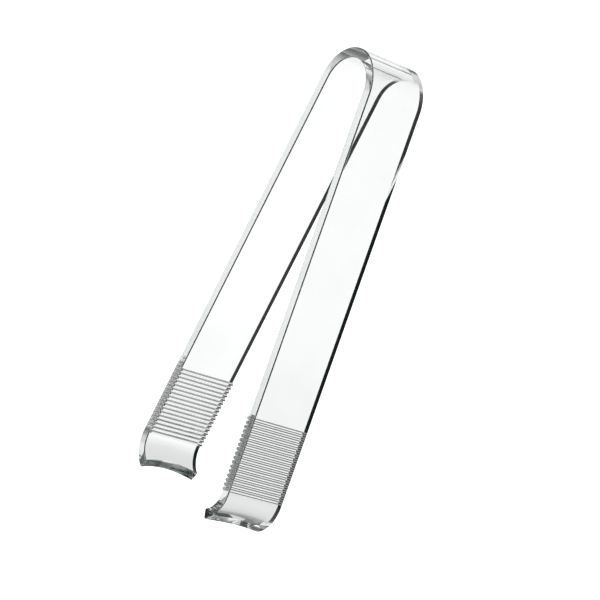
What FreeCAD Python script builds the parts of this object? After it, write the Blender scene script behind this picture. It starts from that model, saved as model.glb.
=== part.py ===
import FreeCAD, Part
import math
import os
import Sketcher

# Ice tongs: one strip of clear plastic folded into a tight bow, with two
# splayed arms, a ribbed grip length on the inner face of each arm, and an
# inward-curling claw whose end is cut to a hollow arc between two points.
#
# Frame: origin at mid-thickness of the strip on top of the bow, on the side
# edge the tongs rest on.  X across the opening, -Y down the arms, +Z up
# through the width of the strip.  Millimetres and degrees.
#
# Arms, grips and claws are drawn in their own frames, hanging straight down
# -Y from the origin, and then placed.  Throughout, side is 1 for the right
# pieces, on +X, and -1 for the left ones, on -X.

Vector = FreeCAD.Vector
Constraint = Sketcher.Constraint
doc = FreeCAD.newDocument("ice_tongs")

# ---------------------------------------------------------------- dimensions
# alias, value, meaning
DIMENSIONS = [
    ("strip_width", 23, "width of the strip, the height when lying down"),
    ("strip_thick", 3.7, "thickness of the strip"),
    ("bow_radius", 12.9, "bow, radius of the mid-line"),
    ("splay_angle", 6.3, "each arm leans outward by this much"),
    ("straight_run", 140.3, "straight mid-line length from bow to claw"),
    ("grip_run", 27.5, "ribbed share of the straight length"),
    ("rib_count", 17, "ribs on each arm"),
    ("rib_pitch", 1.56, "spacing of the ribs"),
    ("rib_half", 0.62, "half the width of a rib"),
    ("rib_height", 0.9, "how far a rib stands in from the strip"),
    ("rib_margin", 0.75, "claw to the middle of the nearest rib"),
    ("claw_radius", 10.4, "claw, radius of the mid-line"),
    ("claw_angle", 70.5, "how far the claw curls inward"),
    ("notch_depth", 2.2, "hollow of the claw's end cut"),
    ("edge_round", 0.45, "rounding of the upper long edges"),
    ("knuckle_gap", 0.05, "clearance round the arm's rounded root"),
]
sheet = doc.addObject("Spreadsheet::Sheet", "Dimensions")
for column, heading in zip("ABC", ("name", "value", "meaning")):
    sheet.set(column + "1", heading)
for row, (alias, value, meaning) in enumerate(DIMENSIONS, start=2):
    sheet.set("A%d" % row, alias)
    sheet.set("B%d" % row, str(value))
    sheet.set("C%d" % row, meaning)
    sheet.setAlias("B%d" % row, alias)
doc.recompute()


def dim(name):
    return float(getattr(sheet, name))


# Starting values for the sketches; the expressions bound below drive them.
strip_width = dim("strip_width")
half_thick = dim("strip_thick") / 2
bow_radius = dim("bow_radius")
splay = math.radians(dim("splay_angle"))
grip_run = dim("grip_run")
claw_radius = dim("claw_radius")

# Selecting edges
TOLERANCE = 1e-6
LONG_EDGE = 5  # a straight edge longer than this runs along the strip

# Sketcher's numbers for the origin, the axes and the points of a curve
ORIGIN = (-1, 1)
X_AXIS, Y_AXIS = -1, -2
START, END, CENTRE = 1, 2, 3

UP = Vector(0, 0, 1)


# ---------------------------------------------------------------- helpers
def require(condition, message):
    if not condition:
        raise RuntimeError(message)


def on_sheet(expression):
    """Prefixes every sheet name in an expression."""
    for alias, _, _ in DIMENSIONS:
        expression = expression.replace(alias, "Dimensions." + alias)
    return expression


def bind(target, prop, expression):
    target.setExpression(prop, on_sheet(expression))


def new_body(label):
    body = doc.addObject("PartDesign::Body", label)
    body.Label = label
    return body


def new_sketch(body, label, role="XY_Plane"):
    plane = next(f for f in body.Origin.OriginFeatures if f.Role == role)
    sketch = body.newObject("Sketcher::SketchObject", label)
    sketch.AttachmentSupport = [(plane, "")]
    sketch.MapMode = "FlatFace"
    return sketch


def drive(sketch, name, expression, *constraint):
    """Adds a named driving constraint bound to the sheet."""
    index = sketch.addConstraint(Constraint(*constraint))
    sketch.renameConstraint(index, name)
    bind(sketch, "Constraints." + name, expression)


def finish(sketch):
    """A sketch must solve with no redundant or conflicting constraint."""
    code = sketch.solve()
    faulty = code != 0 or sketch.RedundantConstraints or sketch.ConflictingConstraints
    require(not faulty, "%s doesn't solve: %s" % (sketch.Label, code))
    sketch.Visibility = False


def polar(centre, radius, angle):
    return centre + Vector(radius * math.cos(angle), radius * math.sin(angle), 0)


def add_line(sketch, start, end):
    sketch.addGeometry(Part.LineSegment(start, end), False)


def add_circle(sketch, centre, radius):
    sketch.addGeometry(Part.Circle(centre, UP, radius), False)


def add_arc(sketch, centre, radius, first, last):
    sketch.addGeometry(Part.ArcOfCircle(Part.Circle(centre, UP, radius), first, last), False)


def add_ring_sector(sketch, centre, radius, centre_axis, angles, line_ends):
    """Bent strip: outer arc 0, inner arc 1, and radial end lines 2 and 3.

    angles are the arcs' first and last; line_ends says which end of the
    arcs, START or END, line 2 and then line 3 closes.
    """
    outer, inner = radius + half_thick, radius - half_thick
    add_arc(sketch, centre, outer, *angles)
    add_arc(sketch, centre, inner, *angles)
    constraints = [
        Constraint("Coincident", 0, CENTRE, 1, CENTRE),
        Constraint("PointOnObject", 0, CENTRE, centre_axis),
    ]
    for line, end in enumerate(line_ends, start=2):
        angle = angles[0] if end == START else angles[1]
        add_line(sketch, polar(centre, inner, angle), polar(centre, outer, angle))
        constraints += [
            Constraint("Coincident", 1, end, line, START),
            Constraint("Coincident", 0, end, line, END),
        ]
    sketch.addConstraint(constraints)


def drive_radii(sketch, alias):
    """Sets a ring sector's arcs half a thickness either side of a mid-line."""
    radius = dim(alias)
    drive(sketch, "outer_radius", alias + " + strip_thick / 2",
          "Radius", 0, radius + half_thick)
    drive(sketch, "inner_radius", alias + " - strip_thick / 2",
          "Radius", 1, radius - half_thick)


def inward(side):
    """Curve 0's centre and the origin, ordered for a positive DistanceX
    when the centre lies inward of the origin."""
    centre = (0, CENTRE)
    return centre + ORIGIN if side > 0 else ORIGIN + centre


def pad(body, sketch, label):
    """Raises a profile through the width of the strip."""
    finish(sketch)
    feature = body.newObject("PartDesign::Pad", label)
    feature.Profile = sketch
    feature.Length = strip_width
    bind(feature, "Length", "strip_width")
    doc.recompute()
    return feature


def on_upper_side(edge):
    """The lower side is the moulding's parting side, and its edges are crisp."""
    box = edge.BoundBox
    return box.ZLength < TOLERANCE and abs(box.ZMin - strip_width) < TOLERANCE


def is_arc(edge, *radii):
    return hasattr(edge.Curve, "Radius") and any(
        abs(edge.Curve.Radius - radius) < TOLERANCE for radius in radii
    )


def is_long_line(edge):
    return (
        edge.Curve.TypeId == "Part::GeomLine"
        and abs(edge.BoundBox.XLength) < TOLERANCE
        and edge.Length > LONG_EDGE
    )


def soften_edges(body, base, label, wanted, count, kind="Fillet"):
    """Rounds, or bevels, the upper edges that wanted(edge) picks."""
    names = [
        "Edge%d" % number
        for number, edge in enumerate(base.Shape.Edges, start=1)
        if on_upper_side(edge) and wanted(edge)
    ]
    require(len(names) == count, "%s picks %d edges" % (label, len(names)))
    feature = body.newObject("PartDesign::" + kind, label)
    feature.Base = (base, names)
    size = "Radius" if kind == "Fillet" else "Size"
    setattr(feature, size, dim("edge_round"))
    bind(feature, size, "edge_round")
    doc.recompute()
    return feature


def place(body, side, run="0"):
    """Stands a body at a distance down the arm, leaning with it.

    run is the sheet expression of the distance from the bow.
    """
    body.Placement = FreeCAD.Placement(
        Vector(0, 0, 0), FreeCAD.Rotation(Vector(0, 0, side), dim("splay_angle"))
    )
    bind(body, "Placement.Rotation.Angle", "splay_angle")
    sign = "" if side > 0 else "-1 * "
    bind(body, "Placement.Base.x",
         sign + "(bow_radius * cos(splay_angle) + (%s) * sin(splay_angle))" % run)
    bind(body, "Placement.Base.y",
         "bow_radius * sin(splay_angle) - bow_radius - (%s) * cos(splay_angle)" % run)
    doc.recompute()


# ---------------------------------------------------------------- bow
def make_bow():
    """A ring sector about the bow's axis, with a round seat in each end.

    The rounded root of an arm can turn in its seat.
    """
    body = new_body("bow")
    sketch = new_sketch(body, "bow_profile")
    add_ring_sector(sketch, Vector(0, -bow_radius, 0), bow_radius, Y_AXIS,
                    (splay, math.pi - splay), (START, END))
    sketch.addConstraint([
        Constraint("Symmetric", 0, START, 0, END, Y_AXIS),
        Constraint("Symmetric", 1, START, 1, END, Y_AXIS),
        Constraint("PointOnObject", 0, CENTRE, 2),
    ])
    drive(sketch, "axis_drop", "bow_radius", "DistanceY", 0, CENTRE, *ORIGIN, bow_radius)
    drive_radii(sketch, "bow_radius")
    drive(sketch, "end_lean", "splay_angle", "Angle", 2, splay)
    strip = pad(body, sketch, "bow_strip")
    bevelled = soften_edges(
        body, strip, "bow_edges",
        lambda edge: is_arc(edge, bow_radius + half_thick, bow_radius - half_thick),
        count=2, kind="Chamfer",
    )

    sketch = new_sketch(body, "bow_seats_profile")
    seat_radius = half_thick + dim("knuckle_gap")
    seat_x = bow_radius * math.cos(splay)
    seat_drop = bow_radius - bow_radius * math.sin(splay)
    for side in (1, -1):
        add_circle(sketch, Vector(side * seat_x, -seat_drop, 0), seat_radius)
    sketch.addConstraint([
        Constraint("Equal", 0, 1),
        Constraint("Symmetric", 0, CENTRE, 1, CENTRE, Y_AXIS),
    ])
    drive(sketch, "seat_radius", "strip_thick / 2 + knuckle_gap", "Radius", 0, seat_radius)
    drive(sketch, "seat_x", "bow_radius * cos(splay_angle)",
          "DistanceX", *ORIGIN, 0, CENTRE, seat_x)
    drive(sketch, "seat_drop", "bow_radius - bow_radius * sin(splay_angle)",
          "DistanceY", 0, CENTRE, *ORIGIN, seat_drop)
    finish(sketch)
    seats = body.newObject("PartDesign::Pocket", "bow_seats")
    seats.Profile = sketch
    seats.Type = 1  # through all
    seats.Midplane = True
    doc.recompute()
    require(seats.Shape.Volume <= bevelled.Shape.Volume - 1, "the seats cut nothing")
    return body


# ---------------------------------------------------------------- arms
def make_arm(name, side):
    """The plain straight length, with a rounded root at the bow."""
    body = new_body(name)
    sketch = new_sketch(body, name + "_profile")
    length = dim("straight_run") - grip_run
    corners = [
        Vector(-half_thick, 0, 0),
        Vector(-half_thick, -length, 0),
        Vector(half_thick, -length, 0),
        Vector(half_thick, 0, 0),
    ]
    add_arc(sketch, Vector(0, 0, 0), half_thick, 0, math.pi)
    for start, end in zip(corners, corners[1:]):
        add_line(sketch, start, end)
    sketch.addConstraint([
        Constraint("Coincident", 0, CENTRE, *ORIGIN),
        Constraint("Coincident", 0, END, 1, START),
        Constraint("Coincident", 1, END, 2, START),
        Constraint("Coincident", 2, END, 3, START),
        Constraint("Coincident", 3, END, 0, START),
        Constraint("Vertical", 1),
        Constraint("Vertical", 3),
        Constraint("Horizontal", 2),
        Constraint("PointOnObject", 0, START, X_AXIS),
        Constraint("PointOnObject", 0, END, X_AXIS),
    ])
    drive(sketch, "root_radius", "strip_thick / 2", "Radius", 0, half_thick)
    drive(sketch, "run_length", "straight_run - grip_run",
          "DistanceY", 1, END, *ORIGIN, length)
    strip = pad(body, sketch, name + "_strip")
    soften_edges(
        body, strip, name + "_edges",
        lambda edge: is_long_line(edge) or is_arc(edge, half_thick),
        count=3,
    )
    place(body, side)
    return body


# ---------------------------------------------------------------- grips
def make_grip(name, side):
    """A length of strip with half-oval ribs across its inner face."""
    body = new_body(name)
    sketch = new_sketch(body, name + "_profile")
    corners = [
        Vector(-half_thick, 0, 0),
        Vector(-half_thick, -grip_run, 0),
        Vector(half_thick, -grip_run, 0),
        Vector(half_thick, 0, 0),
    ]
    for i in range(4):
        add_line(sketch, corners[i], corners[(i + 1) % 4])
    sketch.addConstraint(
        [Constraint("Coincident", i, END, (i + 1) % 4, START) for i in range(4)]
        + [
            Constraint("Vertical", 0),
            Constraint("Vertical", 2),
            Constraint("Horizontal", 1),
            Constraint("Symmetric", 3, END, 3, START, *ORIGIN),
        ]
    )
    drive(sketch, "strip_thickness", "strip_thick",
          "DistanceX", 0, START, 2, END, 2 * half_thick)
    drive(sketch, "run_length", "grip_run", "DistanceY", 0, END, 0, START, grip_run)
    strip = pad(body, sketch, name + "_strip")
    # Only the outer edge is rounded; the inner one carries the ribs.
    rounded = soften_edges(
        body, strip, name + "_edges",
        lambda edge: is_long_line(edge) and side * edge.BoundBox.XMin > 0,
        count=1,
    )
    add_ribs(body, name, side, rounded.Shape.Volume)
    place(body, side, "straight_run - grip_run")
    return body


def add_ribs(body, name, side, plain_volume):
    """Pads the rib nearest the claw and repeats it up towards the bow."""
    sketch = new_sketch(body, name + "_rib_profile")
    half_width, height = dim("rib_half"), dim("rib_height")
    drop = grip_run - dim("rib_margin")
    face_x = -side * half_thick
    sketch.addGeometry(
        Part.Ellipse(
            Vector(face_x + height, -drop, 0),
            Vector(face_x, -drop + half_width, 0),
            Vector(face_x, -drop, 0),
        ),
        False,
    )
    # This adds the major axis as line 1 and the minor axis as line 2.
    sketch.exposeInternalGeometry(0)
    sketch.addConstraint(Constraint("Horizontal", 1))
    drive(sketch, "rib_rise", "2 * rib_height", "Distance", 1, 2 * height)
    drive(sketch, "rib_width", "2 * rib_half", "Distance", 2, 2 * half_width)
    drive(sketch, "rib_drop", "grip_run - rib_margin",
          "DistanceY", 0, CENTRE, *ORIGIN, drop)
    drive(sketch, "rib_face", "strip_thick / 2", "DistanceX", *inward(side), half_thick)
    rib = pad(body, sketch, name + "_rib")
    rib_volume = rib.Shape.Volume - plain_volume
    require(rib_volume >= 1, "the rib adds nothing")

    repeats = dim("rib_count") - 1
    ribs = doc.addObject("PartDesign::LinearPattern", name + "_ribs")
    body.addObject(ribs)
    ribs.Originals = [rib]
    ribs.Direction = (sketch, ["V_Axis"])
    ribs.Occurrences = int(dim("rib_count"))
    ribs.Length = repeats * dim("rib_pitch")
    bind(ribs, "Occurrences", "rib_count")
    bind(ribs, "Length", "(rib_count - 1) * rib_pitch")
    body.Tip = ribs
    doc.recompute()
    least_volume = plain_volume + 0.96 * repeats * rib_volume
    require(ribs.Shape.Volume >= least_volume, "the ribs were not repeated")


# ---------------------------------------------------------------- claws
def make_claw(name, side):
    """The strip curls inward, and a round cut hollows its end."""
    body = new_body(name)
    sketch = new_sketch(body, name + "_profile")
    curl = math.radians(dim("claw_angle"))
    if side > 0:
        angles, line_ends = (-curl, 0.0), (END, START)
        end_angle, end_expression = -curl, "-1 * claw_angle"
    else:
        angles, line_ends = (math.pi, math.pi + curl), (START, END)
        end_angle, end_expression = curl - math.pi, "claw_angle - 180"
    # Line 2 meets the grip and line 3 is the free end.
    add_ring_sector(sketch, Vector(-side * claw_radius, 0, 0), claw_radius, X_AXIS,
                    angles, line_ends)
    sketch.addConstraint([
        Constraint("Horizontal", 2),
        Constraint("PointOnObject", 2, START, X_AXIS),
        Constraint("PointOnObject", 0, CENTRE, 3),
    ])
    drive_radii(sketch, "claw_radius")
    drive(sketch, "curl_axis", "claw_radius", "DistanceX", *inward(side), claw_radius)
    drive(sketch, "curl_angle", end_expression, "Angle", 3, end_angle)
    strip = pad(body, sketch, name + "_strip")
    hollowed = cut_claw_end(body, name, side, strip)
    soften_edges(
        body, hollowed, name + "_edges",
        lambda edge: is_arc(edge, claw_radius + half_thick, claw_radius - half_thick),
        count=2,
    )
    place(body, side, "straight_run")
    return body


def cut_claw_end(body, name, side, strip):
    """Cuts a circle through both corners of the free end, notch_depth deep.

    Its sketch plane is turned about the curl's axis to face the free end.
    """
    depth = dim("notch_depth")
    radius = ((strip_width / 2) ** 2 + depth ** 2) / (2 * depth)
    radius_expression = "((strip_width / 2)^2 + notch_depth^2) / (2 * notch_depth)"

    sketch = new_sketch(body, name + "_end_profile", "YZ_Plane")
    sketch.AttachmentOffset = FreeCAD.Placement(
        Vector(0, 0, -side * claw_radius),
        FreeCAD.Rotation(Vector(0, -side, 0), dim("claw_angle")),
    )
    bind(sketch, "AttachmentOffset.Rotation.Angle", "claw_angle")
    bind(sketch, "AttachmentOffset.Base.z", ("-1 * " if side > 0 else "") + "claw_radius")
    add_circle(sketch, Vector(depth - radius, strip_width / 2, 0), radius)
    drive(sketch, "end_radius", radius_expression, "Radius", 0, radius)
    drive(sketch, "end_offset", radius_expression + " - notch_depth",
          "DistanceX", 0, CENTRE, *ORIGIN, radius - depth)
    drive(sketch, "end_middle", "strip_width / 2",
          "DistanceY", *ORIGIN, 0, CENTRE, strip_width / 2)
    finish(sketch)
    cut = body.newObject("PartDesign::Pocket", name + "_end")
    cut.Profile = sketch
    cut.Type = 0  # by length
    cut.Midplane = True
    cut.Length = 2 * (claw_radius + dim("strip_thick"))
    bind(cut, "Length", "2 * (claw_radius + strip_thick)")
    doc.recompute()
    require(cut.Shape.Volume <= strip.Shape.Volume - 20, "the end cut removes nothing")
    return cut


bodies = [make_bow()]
for prefix, side in (("left", -1), ("right", 1)):
    bodies.append(make_arm(prefix + "_arm", side))
    bodies.append(make_grip(prefix + "_grip", side))
    bodies.append(make_claw(prefix + "_claw", side))

# ---------------------------------------------------------------- check, write
doc.recompute()
for item in doc.Objects:
    state = getattr(item, "State", [])
    require("Invalid" not in state and "Error" not in state,
            "%s is %s" % (item.Label, state))
os.makedirs("parts", exist_ok=True)
for body in bodies:
    shape = body.Shape
    require(not shape.isNull() and shape.isValid() and len(shape.Solids) == 1,
            body.Label + " is not one valid solid")
    shape.exportStep("parts/" + body.Label + ".step")
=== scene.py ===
import bpy
import math
import numpy as np
from collections import namedtuple
from mathutils import Matrix, Vector


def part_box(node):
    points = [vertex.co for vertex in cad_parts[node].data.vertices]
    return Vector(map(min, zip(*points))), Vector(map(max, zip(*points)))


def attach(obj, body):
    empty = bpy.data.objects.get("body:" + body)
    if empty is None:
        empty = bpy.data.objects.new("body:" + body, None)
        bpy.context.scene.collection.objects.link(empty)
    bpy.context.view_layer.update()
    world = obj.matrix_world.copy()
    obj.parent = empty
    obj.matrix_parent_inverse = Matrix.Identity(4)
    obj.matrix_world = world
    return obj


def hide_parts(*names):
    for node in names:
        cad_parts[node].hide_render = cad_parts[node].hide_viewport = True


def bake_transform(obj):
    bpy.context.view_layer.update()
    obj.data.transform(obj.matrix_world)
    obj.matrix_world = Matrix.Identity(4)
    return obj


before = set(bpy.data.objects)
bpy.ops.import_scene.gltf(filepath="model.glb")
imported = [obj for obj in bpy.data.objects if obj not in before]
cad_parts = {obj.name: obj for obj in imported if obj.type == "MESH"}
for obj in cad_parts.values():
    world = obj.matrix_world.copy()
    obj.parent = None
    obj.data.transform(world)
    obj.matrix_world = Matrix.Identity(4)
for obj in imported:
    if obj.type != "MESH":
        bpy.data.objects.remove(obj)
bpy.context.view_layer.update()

# ------------------------------------------------------------------ sizes, mm
W = 23.0  # strip width
T = 3.7  # strip thickness
BOW_R = 12.9  # mid-line radius of the bow
SPLAY = math.radians(6.3)  # each arm's lean away from -Y
BOW_ARC = BOW_R * (math.pi / 2 - SPLAY)  # mid-line length of half the bow
STRAIGHT = 140.3  # from the bow to the claw
GRIP = 27.5  # the ribbed last length of the straight
ARM = STRAIGHT - GRIP
RIBS, RIB_PITCH = 17, 1.56
RIB_MARGIN = 0.75  # from the last rib's middle to the claw
RIB_HALF, RIB_HEIGHT = 0.62, 0.9  # half width and height of a rib
CLAW_R = 10.4  # mid-line radius of the claw
CLAW_TURN = math.radians(70.5)
NOTCH = 2.2  # depth of the hollow in the claw's end
HOLLOW_R = ((W / 2) ** 2 + NOTCH**2) / (2 * NOTCH)  # radius of the arc of that hollow
UPPER_ROUND, LOWER_ROUND = 0.45, 0.05  # radii of the long edges
GAP = 0.003  # hairline between neighbouring pieces of the one moulding

# ------------------------------------------------------------------ segments
CORNER_STEPS = 5  # round each long edge
FLAT_STEPS = 26  # across the flat of the strip
BOW_STEPS, RIB_STEPS, CLAW_STEPS = 44, 12, 30
ARM_FINE_STEP, ARM_FINE_CUTS = 0.75, 16  # close cuts next to the bow, where the arm bends
ARM_MIDDLE_CUTS = [14.0, 18.0]
ARM_STEP, ARM_LAST_STEP = 6.0, 7.5  # plain cuts, and the least room a further one needs

NAMES = {-1: "left", 1: "right"}  # by the sign of x
UP = np.array([0.0, 0.0, 1.0])
OUTER, INNER = 0, 1  # the two faces of the strip

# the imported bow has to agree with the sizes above
bow_low, bow_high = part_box("bow")
assert abs((bow_high.z - bow_low.z) * 1000 - W) < 0.05, "strip width differs from the CAD"
assert abs(bow_high.y * 1000 - T / 2) < 0.05, "the crown differs from the CAD"


# ------------------------------------------------------------------ node helpers
def add_node(tree, kind, inputs=None, **settings):
    """A shader node. Each input is given a value, or is linked if it gets a socket."""
    made = tree.nodes.new("ShaderNode" + kind)
    for key, value in settings.items():
        setattr(made, key, value)
    for key, value in (inputs or {}).items():
        if isinstance(value, bpy.types.NodeSocket):
            tree.links.new(value, made.inputs[key])
        else:
            made.inputs[key].default_value = value
    return made


def map_range(tree, value, source, target, interpolation="LINEAR"):
    inputs = {
        "Value": value,
        "From Min": source[0],
        "From Max": source[1],
        "To Min": target[0],
        "To Max": target[1],
    }
    return add_node(tree, "MapRange", inputs, interpolation_type=interpolation).outputs["Result"]


def mix_shaders(tree, share, first, second):
    """The first shader where share is 0, the second where it is 1."""
    return add_node(tree, "MixShader", {0: share, 1: first, 2: second}).outputs[0]


def empty_tree(owner):
    owner.use_nodes = True
    owner.node_tree.nodes.clear()
    return owner.node_tree


# ------------------------------------------------------------------ plastic
def make_plastic():
    mat = bpy.data.materials.new("clear_plastic_moulded")
    tree = empty_tree(mat)
    coord = add_node(tree, "TexCoord").outputs["Object"]

    def noise(scale, detail, roughness):
        inputs = {"Vector": coord, "Scale": scale, "Detail": detail, "Roughness": roughness}
        return add_node(tree, "TexNoise", inputs).outputs["Fac"]

    # patches of the surface are a trace greyer and duller, from handling
    worn = noise(scale=75.0, detail=5.0, roughness=0.62)
    tone = add_node(tree, "MixRGB", {
        "Fac": map_range(tree, worn, source=(0.42, 0.72), target=(0.0, 1.0)),
        "Color1": (0.997, 0.998, 0.9975, 1),
        "Color2": (0.978, 0.985, 0.982, 1),
    })
    # the slow, very slight ripple that moulded plastic has
    ripple = add_node(tree, "Bump", {
        "Strength": 0.05,
        "Distance": 0.00004,
        "Height": noise(scale=140.0, detail=3.0, roughness=0.5),
    })
    glass = add_node(tree, "BsdfGlass", {
        "IOR": 1.5,
        "Color": tone.outputs[0],
        "Roughness": map_range(tree, worn, source=(0.50, 0.80), target=(0.0, 0.03)),
        "Normal": ripple.outputs["Normal"],
    })
    # shadow and diffuse rays pass straight through, slightly dimmed
    clear = add_node(tree, "BsdfTransparent", {"Color": (0.97, 0.98, 0.975, 1)})
    path = add_node(tree, "LightPath").outputs
    passing = add_node(
        tree,
        "Math",
        {0: path["Is Shadow Ray"], 1: path["Is Diffuse Ray"]},
        operation="MAXIMUM",
    )
    surface = mix_shaders(tree, passing.outputs[0], glass.outputs[0], clear.outputs[0])
    # the cut ends between neighbouring pieces lie inside the one moulding and don't bend light
    cap = add_node(tree, "Attribute", attribute_name="cap")
    inside = add_node(tree, "BsdfTransparent")
    whole = mix_shaders(tree, cap.outputs["Fac"], surface, inside.outputs[0])
    tint = add_node(tree, "VolumeAbsorption", {"Color": (0.34, 0.46, 0.42, 1), "Density": 5.5})
    add_node(tree, "OutputMaterial", {"Surface": whole, "Volume": tint.outputs[0]})
    return mat


plastic = make_plastic()


# ------------------------------------------------------------------ section
def section_chain():
    """One face of the strip from z = 0 to z = W, as rows of
    (inset from the face, z, share of the face normal, share of the z normal)."""

    def corner(radius, middle_z, sign, angle):
        return (
            radius - radius * math.sin(angle),
            middle_z + sign * radius * math.cos(angle),
            math.sin(angle),
            sign * math.cos(angle),
        )

    rows = []
    for i in range(CORNER_STEPS + 1):
        rows.append(corner(LOWER_ROUND, LOWER_ROUND, -1, math.pi / 2 * i / CORNER_STEPS))
    for i in range(1, FLAT_STEPS):
        z = LOWER_ROUND + (W - LOWER_ROUND - UPPER_ROUND) * i / FLAT_STEPS
        rows.append((0.0, z, 1.0, 0.0))
    for i in range(CORNER_STEPS + 1):
        angle = math.pi / 2 * (1 - i / CORNER_STEPS)
        rows.append(corner(UPPER_ROUND, W - UPPER_ROUND, 1, angle))
    return rows


CHAIN = section_chain()

# One cross-section of the strip.
#   point(offset, z): the place at that offset outwards from the mid-line, before z is added
#   along(z), outward(z): the strip's direction and its outward normal at height z
#   height: how far the inner face stands in from the flat strip
#   leans: the inner face's normal just before and just after, as shares of (along, outward)
Station = namedtuple("Station", "point along outward height leans")
FLAT = (0.0, -1.0)


def plain_station(middle, run, out, height=0.0, leans=(FLAT, FLAT)):
    """A station whose directions are the same at every height."""
    return Station(
        lambda offset, z: middle + out * offset,
        lambda z: run,
        lambda z: out,
        height,
        leans,
    )


# ------------------------------------------------------------------ closed lengths of strip
def strip_verts(stations):
    verts = np.zeros((len(stations), 2, len(CHAIN), 3))
    for k, station in enumerate(stations):
        for c, (inset, z, _, _) in enumerate(CHAIN):
            for face, sign, height in ((OUTER, 1, 0.0), (INNER, -1, station.height)):
                offset = sign * (T / 2 + height - inset)
                verts[k, face, c] = station.point(offset, z) + UP * z
    return verts.reshape(-1, 3)


def strip_quads(stations, verts, end_normal):
    """Faces as (vertex numbers, 1 for a cut end inside the moulding or 0, corner normals)."""
    count, rows = len(stations), len(CHAIN)
    index = np.arange(count * 2 * rows).reshape(count, 2, rows)
    quads = []

    def add(ids, cap, normals):
        quads.append(([int(i) for i in ids], cap, normals))

    def face_normal(k, face, c, lean):
        _, z, face_share, up_share = CHAIN[c]
        station = stations[k]
        if face == OUTER:
            base = station.outward(z)
        else:
            along_share, out_share = station.leans[lean]
            base = station.along(z) * along_share + station.outward(z) * out_share
        normal = base * face_share + UP * up_share
        return normal / np.linalg.norm(normal)

    for k in range(count - 1):
        # the normal leaving station k is its second, the one arriving at k + 1 its first
        for c in range(rows - 1):
            corners = [(k, c), (k + 1, c), (k + 1, c + 1), (k, c + 1)]
            for face, ordered in ((OUTER, corners), (INNER, corners[::-1])):
                add(
                    [index[a, face, b] for a, b in ordered],
                    0,
                    [face_normal(a, face, b, 1 if a == k else 0) for a, b in ordered],
                )
        lower = [index[k, 1, 0], index[k + 1, 1, 0], index[k + 1, 0, 0], index[k, 0, 0]]
        upper = [index[k, 0, -1], index[k + 1, 0, -1], index[k + 1, 1, -1], index[k, 1, -1]]
        add(lower, 0, [-UP] * 4)
        add(upper, 0, [UP] * 4)

    for k in (0, count - 1):
        shaped = end_normal is not None and k > 0
        for c in range(rows - 1):
            ids = [index[k, 0, c], index[k, 0, c + 1], index[k, 1, c + 1], index[k, 1, c]]
            if k:
                ids = ids[::-1]
            if shaped:
                add(ids, 0, [end_normal(CHAIN[b][1]) for b in (c, c + 1, c + 1, c)[::-1]])
            else:
                places = verts[ids]
                normal = np.cross(places[1] - places[0], places[2] - places[0])
                normal = normal / max(np.linalg.norm(normal), 1e-12)
                add(ids, 1, [normal] * 4)
    return quads


def facing_out(quads, verts):
    """The quads, turned over if need be: the section runs the other way on one side."""
    ids, _, normals = quads[(len(CHAIN) - 1) // 2 * 2]  # an outer face halfway up the strip
    places = verts[ids]
    if np.cross(places[1] - places[0], places[2] - places[0]).dot(normals[0]) < 0:
        return [(ids[::-1], cap, normals[::-1]) for ids, cap, normals in quads]
    return quads


def build(name, stations, end_normal=None):
    """A closed length of strip. end_normal(z) is the normal of a shaped, open far end."""
    verts = strip_verts(stations)
    quads = facing_out(strip_quads(stations, verts, end_normal), verts)
    mesh = bpy.data.meshes.new(name)
    mesh.from_pydata([tuple(v) for v in verts / 1000.0], [], [quad[0] for quad in quads])
    mesh.update()
    ob = bpy.data.objects.new(name, mesh)
    bpy.context.scene.collection.objects.link(ob)
    mesh.materials.append(plastic)
    cap_values = mesh.attributes.new("cap", "FLOAT", "FACE")
    cap_values.data.foreach_set("value", np.array([quad[1] for quad in quads], np.float32))
    mesh.polygons.foreach_set("use_smooth", np.ones(len(quads), bool))
    # every normal points out of the piece, whichever way round it was built
    corner_normals = []
    for polygon, (_, cap, normals) in zip(mesh.polygons, quads):
        for normal in normals:
            normal = Vector(normal)
            if normal.dot(polygon.normal) < 0:
                normal = polygon.normal.copy() if cap else -normal
            corner_normals.append(normal.normalized())
    mesh.normals_split_custom_set(corner_normals)
    mesh.validate(clean_customdata=False)
    return ob


# ------------------------------------------------------------------ pieces
def arm_frame(side):
    """Root of the arm's mid-line, its run direction and its outward normal."""
    root = np.array([side * BOW_R * math.cos(SPLAY), -BOW_R + BOW_R * math.sin(SPLAY), 0.0])
    run = np.array([side * math.sin(SPLAY), -math.cos(SPLAY), 0.0])
    out = np.array([side * math.cos(SPLAY), math.sin(SPLAY), 0.0])
    return root, run, out


def bow_half(side):
    """From the crown round to the arm."""
    centre = np.array([0.0, -BOW_R, 0.0])
    first = GAP / 2 / BOW_R
    last = (BOW_ARC - GAP / 2) / BOW_R
    stations = []
    for k in range(BOW_STEPS + 1):
        angle = first + (last - first) * k / BOW_STEPS
        out = np.array([side * math.sin(angle), math.cos(angle), 0.0])
        run = np.array([side * math.cos(angle), -math.sin(angle), 0.0])
        stations.append(plain_station(centre + out * BOW_R, run, out))
    return build("bow_" + NAMES[side], stations)


def arm(side):
    root, run, out = arm_frame(side)
    end = ARM - GAP / 2
    cuts = [GAP / 2] + [ARM_FINE_STEP * i for i in range(1, ARM_FINE_CUTS + 1)] + ARM_MIDDLE_CUTS
    while cuts[-1] + ARM_LAST_STEP < end:
        cuts.append(cuts[-1] + ARM_STEP)
    cuts.append(end)
    return build("arm_" + NAMES[side], [plain_station(root + run * cut, run, out) for cut in cuts])


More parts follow.
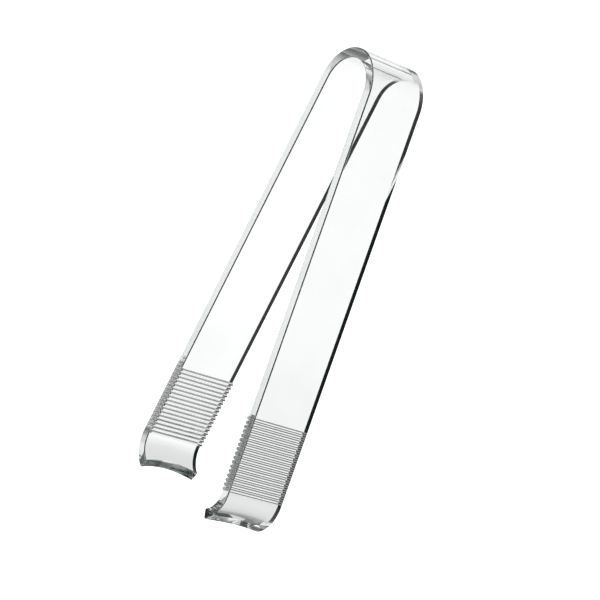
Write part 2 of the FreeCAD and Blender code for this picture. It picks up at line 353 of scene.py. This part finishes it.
def grip(side):
    """Half-oval ribs across the inner face."""
    root, run, out = arm_frame(side)

    def station(distance, height=0.0, leans=(FLAT, FLAT)):
        return plain_station(root + run * (ARM + distance), run, out, height, leans)

    stations = [station(GAP / 2)]
    for i in range(RIBS):
        middle = GRIP - RIB_MARGIN - (RIBS - 1 - i) * RIB_PITCH
        for j in range(RIB_STEPS + 1):
            angle = math.pi * j / RIB_STEPS
            lean = np.array([-math.cos(angle) * RIB_HEIGHT, -math.sin(angle) * RIB_HALF])
            lean = tuple(lean / np.linalg.norm(lean))
            before = FLAT if j == 0 else lean
            after = FLAT if j == RIB_STEPS else lean
            distance = middle - RIB_HALF * math.cos(angle)
            stations.append(station(distance, RIB_HEIGHT * math.sin(angle), (before, after)))
    stations.append(station(GRIP - GAP / 2))
    return build("grip_" + NAMES[side], stations)


def claw(side):
    """The end curled inwards, its tip cut to a hollow arc."""
    root, run, out = arm_frame(side)
    centre = root + run * STRAIGHT - out * CLAW_R
    first = GAP / 2 / CLAW_R

    def cut_back(z):
        """How far the hollow end is cut back at height z."""
        return math.sqrt(HOLLOW_R**2 - (z - W / 2) ** 2) - (HOLLOW_R - NOTCH)

    def station(k):
        def angle(offset, z):
            last = CLAW_TURN - math.asin(max(cut_back(z), 0.0) / (CLAW_R + offset))
            return first + (last - first) * k / CLAW_STEPS

        def point(offset, z):
            a = angle(offset, z)
            return centre + (CLAW_R + offset) * (out * math.cos(a) + run * math.sin(a))

        def along(z):
            a = angle(0.0, z)
            return run * math.cos(a) - out * math.sin(a)

        def outward(z):
            a = angle(0.0, z)
            return out * math.cos(a) + run * math.sin(a)

        return Station(point, along, outward, 0.0, (FLAT, FLAT))

    tip = run * math.cos(CLAW_TURN) - out * math.sin(CLAW_TURN)

    def end_normal(z):
        rise = z - W / 2
        normal = tip * math.sqrt(HOLLOW_R**2 - rise**2) - UP * rise
        return normal / np.linalg.norm(normal)

    stations = [station(k) for k in range(CLAW_STEPS + 1)]
    return build("claw_" + NAMES[side], stations, end_normal)


for side, side_name in NAMES.items():
    half = side_name + "_half"
    bow_piece, arm_piece, grip_piece, claw_piece = bow_half(side), arm(side), grip(side), claw(side)
    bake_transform(bow_piece)
    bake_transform(arm_piece)
    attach(grip_piece, half)
    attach(claw_piece, half)
    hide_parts("bow")
    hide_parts(side_name + "_arm")
    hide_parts(side_name + "_grip")
    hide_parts(side_name + "_claw")


# ------------------------------------------------------------------ floor and light, metres
def make_floor(half_size, z):
    """Plain and pale to the camera. Every other ray passes on to the studio beyond."""
    s = half_size
    mesh = bpy.data.meshes.new("floor")
    mesh.from_pydata([(-s, -s, z), (s, -s, z), (s, s, z), (-s, s, z)], [], [(0, 1, 2, 3)])
    ob = bpy.data.objects.new("floor", mesh)
    bpy.context.scene.collection.objects.link(ob)
    mat = bpy.data.materials.new("pale_floor")
    tree = empty_tree(mat)
    matt = add_node(tree, "BsdfDiffuse", {"Color": (0.93, 0.93, 0.93, 1)})
    glow = add_node(tree, "Emission", {"Strength": 0.98})
    pale = add_node(tree, "AddShader", {0: matt.outputs[0], 1: glow.outputs[0]})
    through = add_node(tree, "BsdfTransparent")
    seen = add_node(tree, "LightPath").outputs["Is Camera Ray"]
    surface = mix_shaders(tree, seen, through.outputs[0], pale.outputs[0])
    add_node(tree, "OutputMaterial", {"Surface": surface})
    mesh.materials.append(mat)


def soft_light(name, place, target, size, power):
    """A square area light."""
    light = bpy.data.lights.new(name, "AREA")
    light.shape = "RECTANGLE"
    light.size = light.size_y = size
    light.energy = power
    ob = bpy.data.objects.new(name, light)
    bpy.context.scene.collection.objects.link(ob)
    ob.location = place
    ob.rotation_euler = (Vector(target) - Vector(place)).to_track_quat("-Z", "Y").to_euler()


make_floor(half_size=6.0, z=-0.00015)
soft_light("overhead", place=(0.2, 0.3, 1.6), target=(0, -0.08, 0), size=1.2, power=6)

# ------------------------------------------------------------------ studio
# The studio, as brightness against the compass direction, in degrees from the
# way the camera looks (positive to its right), one ring for each height: a white
# sweep that runs away ahead, grey walls beside it, a dark room ahead and above,
# and soft boxes high on either side.
RINGS = [
    # (heights in degrees, from, to), [(direction, brightness), ...]
    ((-90, -62), [(-180, 0.01), (180, 0.01)]),
    ((-60, -46), [(-180, 0.01), (-130, 0.20), (-70, 0.60), (-45, 0.02), (45, 0.02), (70, 0.60),
                  (130, 0.30), (180, 0.01)]),
    ((-44, -31), [(-180, 0.03), (-170, 0.04), (-160, 0.60), (-136, 0.74), (-118, 0.40),
                  (-82, 0.44), (-50, 0.14), (-32, 0.36), (-21, 0.72), (-16, 0.79), (-8, 0.83),
                  (-4, 1.01), (0, 1.08), (15, 1.09), (27, 1.00), (35, 0.97), (37.5, 0.05),
                  (40.5, 0.05), (43, 0.96), (50, 1.00), (66, 0.93), (82, 0.52), (100, 0.42),
                  (116, 0.08), (140, 0.14), (160, 0.12), (172, 0.03), (180, 0.03)]),
    ((-29, -9), [(-180, 0.04), (-100, 0.08), (-55, 0.20), (-38, 1.00), (38, 1.00), (55, 0.25),
                 (100, 0.04), (180, 0.04)]),
    ((-7, 11), [(-180, 0.40), (-130, 0.05), (-60, 0.02), (-40, 1.20), (40, 1.20), (60, 0.02),
                (130, 0.05), (180, 0.40)]),
    ((14, 29), [(-180, 0.01), (180, 0.01)]),
    ((31, 44), [(-180, 0.20), (-140, 0.32), (-82, 0.95), (-30, 0.90), (-22, 0.00), (22, 0.00),
                (30, 0.78), (90, 0.60), (140, 0.24), (180, 0.20)]),
    ((48, 64), [(-180, 0.60), (-120, 0.30), (-60, 0.02), (180, 0.01)]),
    ((68, 90), [(-180, 0.85), (-60, 0.60), (60, 0.20), (180, 0.60)]),
]
# camera heights, in degrees above the level
RING_HEIGHT = 36.74  # the one the rings are set out for
HELD_HEIGHTS = 26, 80  # the rings follow the camera between these
DIM_HEIGHTS, DIMMED = (50, 80), 0.72  # the studio dims to this share between these
RAMP_SCALE = 2.0  # a ramp holds brightness divided by this, to stay under 1
DARK_TINT = (0.0, 0.0045, 0.003)  # the dark of the room is faintly green


def make_world():
    """The studio round the tongs, turned with the camera."""
    world = bpy.data.worlds.new("studio")
    bpy.context.scene.world = world
    tree = empty_tree(world)

    def calc(operation, *values):
        return add_node(tree, "Math", dict(enumerate(values)), operation=operation).outputs[0]

    def vector_calc(operation, *values):
        made = add_node(tree, "VectorMath", dict(enumerate(values)), operation=operation)
        return made.outputs["Value" if operation == "DOT_PRODUCT" else 0]

    def split_z(vector):
        return add_node(tree, "SeparateXYZ", {0: vector}).outputs[2]

    # the sweep runs along the camera's own level direction, whatever its roll
    direction = add_node(tree, "TexCoord").outputs["Generated"]
    gaze = add_node(
        tree,
        "VectorTransform",
        {0: (0.0, 0.0, 1.0)},
        vector_type="VECTOR",
        convert_from="CAMERA",
        convert_to="WORLD",
    ).outputs[0]
    level = vector_calc("NORMALIZE", vector_calc("CROSS_PRODUCT", gaze, (0.0, 0.0, 1.0)))
    onward = vector_calc("CROSS_PRODUCT", (0.0, 0.0, 1.0), level)
    aside = vector_calc("DOT_PRODUCT", direction, level)
    ahead = vector_calc("DOT_PRODUCT", direction, onward)

    # for a camera at another height the rings move with it
    lowest, highest = (math.radians(angle) for angle in HELD_HEIGHTS)
    camera_height = calc("ARCSINE", calc("ABSOLUTE", split_z(gaze)))
    held = calc("MINIMUM", calc("MAXIMUM", camera_height, lowest), highest)
    height = calc("MULTIPLY", calc("ARCSINE", split_z(direction)), RING_HEIGHT)
    height = calc("DIVIDE", height, held)
    narrowing = 1 / math.cos(math.radians(RING_HEIGHT))
    narrow = calc("MULTIPLY", calc("COSINE", camera_height), narrowing)
    compass = calc("MULTIPLY", calc("ARCTAN2", aside, ahead), calc("MINIMUM", narrow, 1.0))
    turned = map_range(tree, compass, source=(-math.pi, math.pi), target=(0.0, 1.0))

    def round_the_room(stops):
        """Brightness by compass direction, eased between the stops."""
        ramp = add_node(tree, "ValToRGB", {"Fac": turned})
        ramp.color_ramp.interpolation = "EASE"
        elements = ramp.color_ramp.elements
        while len(elements) < len(stops):
            elements.new(0.5)
        for k, (angle, brightness) in enumerate(stops):
            elements[k].position = (angle + 180.0) / 360.0
            elements[k].color = (brightness / RAMP_SCALE,) * 3 + (1,)
        return calc("MULTIPLY", ramp.outputs["Color"], RAMP_SCALE)

    strength = round_the_room(RINGS[0][1])
    for (lower, _), (upper, stops) in zip(RINGS, RINGS[1:]):
        share = map_range(tree, height, (lower[1], upper[0]), (0.0, 1.0), "SMOOTHSTEP")
        kept = calc("MULTIPLY", strength, calc("SUBTRACT", 1.0, share))
        strength = calc("ADD", kept, calc("MULTIPLY", round_the_room(stops), share))
    # looked at from high up, the plastic stands out pale grey on the white floor
    dim_range = [math.radians(angle) for angle in DIM_HEIGHTS]
    dim = map_range(tree, camera_height, dim_range, (1.0, DIMMED), "SMOOTHSTEP")
    strength = calc("MULTIPLY", strength, dim)
    grey = add_node(tree, "CombineXYZ", {0: strength, 1: strength, 2: strength}).outputs[0]
    back = add_node(tree, "Background", {"Color": vector_calc("ADD", grey, DARK_TINT)})
    add_node(tree, "OutputWorld", {"Surface": back.outputs[0]})


make_world()

# ------------------------------------------------------------------ camera
# the camera's turn, as an axis whose length is the angle in radians
CAMERA_TURN = Vector((0.08461954252555741, 0.9335198978515415, 0.4270756741300574))
# from the pivot to the camera along its own right, up and backward directions, mm
CAMERA_OFFSET = np.array([-20.382410447884332, -84.65648802470008, 777.6223471247957])
CAMERA_PIVOT = np.array([0.0, T / 2, W])  # top of the crown's outer face, mm

turn = Matrix.Rotation(CAMERA_TURN.length, 4, CAMERA_TURN.normalized())
location = CAMERA_PIVOT + np.array(turn.to_3x3()) @ CAMERA_OFFSET
lens_data = bpy.data.cameras.new("camera")
lens_data.sensor_width = 36.0
lens_data.lens = 139.0377718
lens_data.clip_start, lens_data.clip_end = 0.01, 50.0
camera = bpy.data.objects.new("camera", lens_data)
scene = bpy.context.scene
scene.collection.objects.link(camera)
camera.matrix_world = Matrix.Translation(location / 1000.0) @ turn
scene.camera = camera

# ------------------------------------------------------------------ render
scene.view_settings.view_transform = "Standard"
scene.view_settings.look = "None"
# many bounces, for light that runs along inside the strip
scene.cycles.max_bounces = 40
scene.cycles.transmission_bounces = 36
scene.cycles.glossy_bounces = 36
scene.cycles.diffuse_bounces = 3
scene.cycles.transparent_max_bounces = 64
scene.cycles.caustics_reflective = False
scene.cycles.caustics_refractive = False
scene.cycles.use_denoising = True
